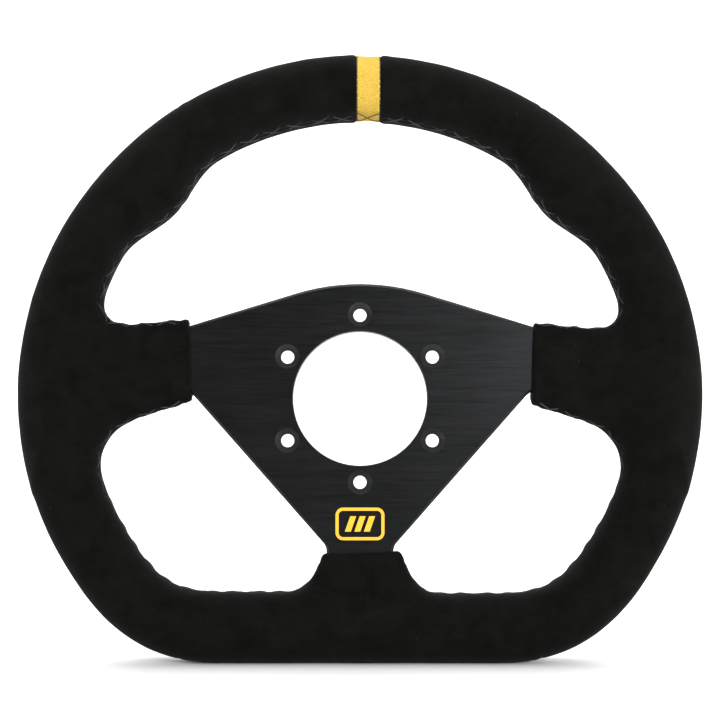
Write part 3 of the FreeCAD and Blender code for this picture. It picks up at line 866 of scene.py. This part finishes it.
def build_wheel():
    suede = suede_material("black_suede", (0.0018, 0.0018, 0.0016), (0.0044, 0.0043, 0.0038),
                           grey(0.03), 0.03, grey(0.8), 0.05)
    yellow = suede_material("yellow_suede", (0.44, 0.292, 0.046), (0.485, 0.322, 0.054), (0.60, 0.45, 0.18),
                            0.04, (1.0, 0.9, 0.6), 0.10)
    thread = thread_material("dark_thread", grey(0.014), grey(0.034))
    seam_thread = thread_material("brown_seam_thread", (0.010, 0.005, 0.002), (0.024, 0.012, 0.004))
    drawn = metal_material("drawn_aluminium", (0.60, 0.61, 0.62), 0.35)
    plain = metal_material("rivet_aluminium", (0.66, 0.66, 0.66), 0.4)

    lines = lace_lines()
    skin = make_skin(lines)
    left_edge, right_edge = MARKER_EDGES

    def in_left(c):
        return c.x < (left_edge if c.z > MARKER_ZONE else 0)

    def in_marker(c):
        return c.z > MARKER_ZONE and left_edge < c.x < right_edge

    def in_right(c):
        return c.x > (right_edge if c.z > MARKER_ZONE else 0)

    for name, test in (("cover_left", in_left), ("cover_right", in_right)):
        piece = part_of_skin(skin, "suede_" + name, test)
        finish_piece(piece, suede, "suede", name)
    strip = part_of_skin(skin, "suede_marker", in_marker)
    finish_piece(strip, yellow, "marker", "centre_marker")
    skin.free()

    foam = make_foam()
    finish_piece(foam, foam_material(), "foam", "rim_foam")

    for name, line in lines.items():
        finish_piece(make_lacing(name + "_thread", line), thread, "thread", name)
    finish_piece(make_marker_lacing(), thread, "thread", "lacing_marker")
    for name, x in (("marker_seam_left", left_edge), ("marker_seam_right", right_edge)):
        finish_piece(make_marker_seam(name + "_thread", x), seam_thread, "thread", name)

    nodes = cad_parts
    paint(nodes["spoke_plate"], plate_material())
    paint(nodes["badge"], ink_material())
    paint(nodes["rim_hoop"], drawn)
    paint(nodes["hoop_joiner"], drawn)
    for name, node in nodes.items():
        if name.startswith("rivet_"):
            paint(node, plain)


# ------------------------------------------------------------ floor, light and camera

def white_material(name, brightness, glow):
    mat, tree, shader = material(name, Roughness=0.9)
    shader.inputs["Base Color"].default_value = (*grey(brightness), 1)
    shader.inputs["Emission Color"].default_value = (1, 1, 1, 1)
    shader.inputs["Emission Strength"].default_value = glow
    return mat


def make_stage():
    """Pale floor under the wheel that curves up into a pale wall behind it."""
    floor_z = cad_box[0].z
    wall_y = 0.75
    bend = 0.35
    half_width = 2.6
    bend_steps = 16
    profile = [(-1.6, floor_z)]
    for step in range(bend_steps + 1):
        turn = math.pi / 2 * step / bend_steps
        profile.append((wall_y - bend + bend * math.sin(turn), floor_z + bend - bend * math.cos(turn)))
    profile.append((wall_y, floor_z + 2.4))
    verts, faces = [], []
    for y, z in profile:
        verts += [(side * half_width / MM, y / MM, z / MM) for side in (-1, 1)]
    for index in range(len(profile) - 1):
        a = index * 2
        faces.append((a, a + 1, a + 3, a + 2))
    stage = new_object("studio_floor", verts, faces)
    paint(stage, white_material("pale_paper", 0.86, 0.0))


def add_light(name, place, aim, width, height, power):
    data = bpy.data.lights.new(name, "AREA")
    data.shape = "RECTANGLE"
    data.size = width
    data.size_y = height
    data.energy = power
    light = bpy.data.objects.new(name, data)
    light.location = place
    direction = Vector(aim) - Vector(place)
    light.rotation_euler = direction.to_track_quat("-Z", "Y").to_euler()
    bpy.context.collection.objects.link(light)


def make_lights():
    add_light("key", (-0.85, -1.05, 0.60), (0, 0, 0), 0.9, 0.9, 5.5)
    add_light("fill", (1.05, -0.9, 0.35), (0, 0, 0), 0.8, 1.1, 4)
    add_light("glint", (0.55, -1.20, 0.30), (0, 0, 0), 0.2, 0.3, 13)
    add_light("overhead", (0, -0.1, 1.5), (0, 0, 0), 1.6, 1.2, 1.5)
    add_light("backdrop", (0, 0.15, 1.3), (0, 0.75, 0.2), 2.4, 0.5, 20)
    world = bpy.data.worlds.new("studio")
    bpy.context.scene.world = world
    world.use_nodes = True
    world.node_tree.nodes["Background"].inputs["Color"].default_value = (1, 1, 1, 1)
    world.node_tree.nodes["Background"].inputs["Strength"].default_value = 0.75


def make_camera():
    """Square to the plate, a little below the hub, with the framing raised by the lens shift."""
    distance = 0.450
    height = -0.032
    view_width = 0.300
    view_centre = 0.016
    data = bpy.data.cameras.new("camera")
    data.sensor_width = 36
    plate_front = PLATE_LOW[1] * MM
    data.lens = 36 * distance / view_width
    data.shift_y = (view_centre - height) / view_width
    data.clip_start = 0.01
    camera = bpy.data.objects.new("camera", data)
    camera.location = (0, plate_front - distance, height)
    camera.rotation_euler = (math.pi / 2, 0, 0)
    bpy.context.collection.objects.link(camera)
    bpy.context.scene.camera = camera


build_wheel()
make_stage()
make_lights()
make_camera()
bpy.context.scene.view_settings.view_transform = "Standard"
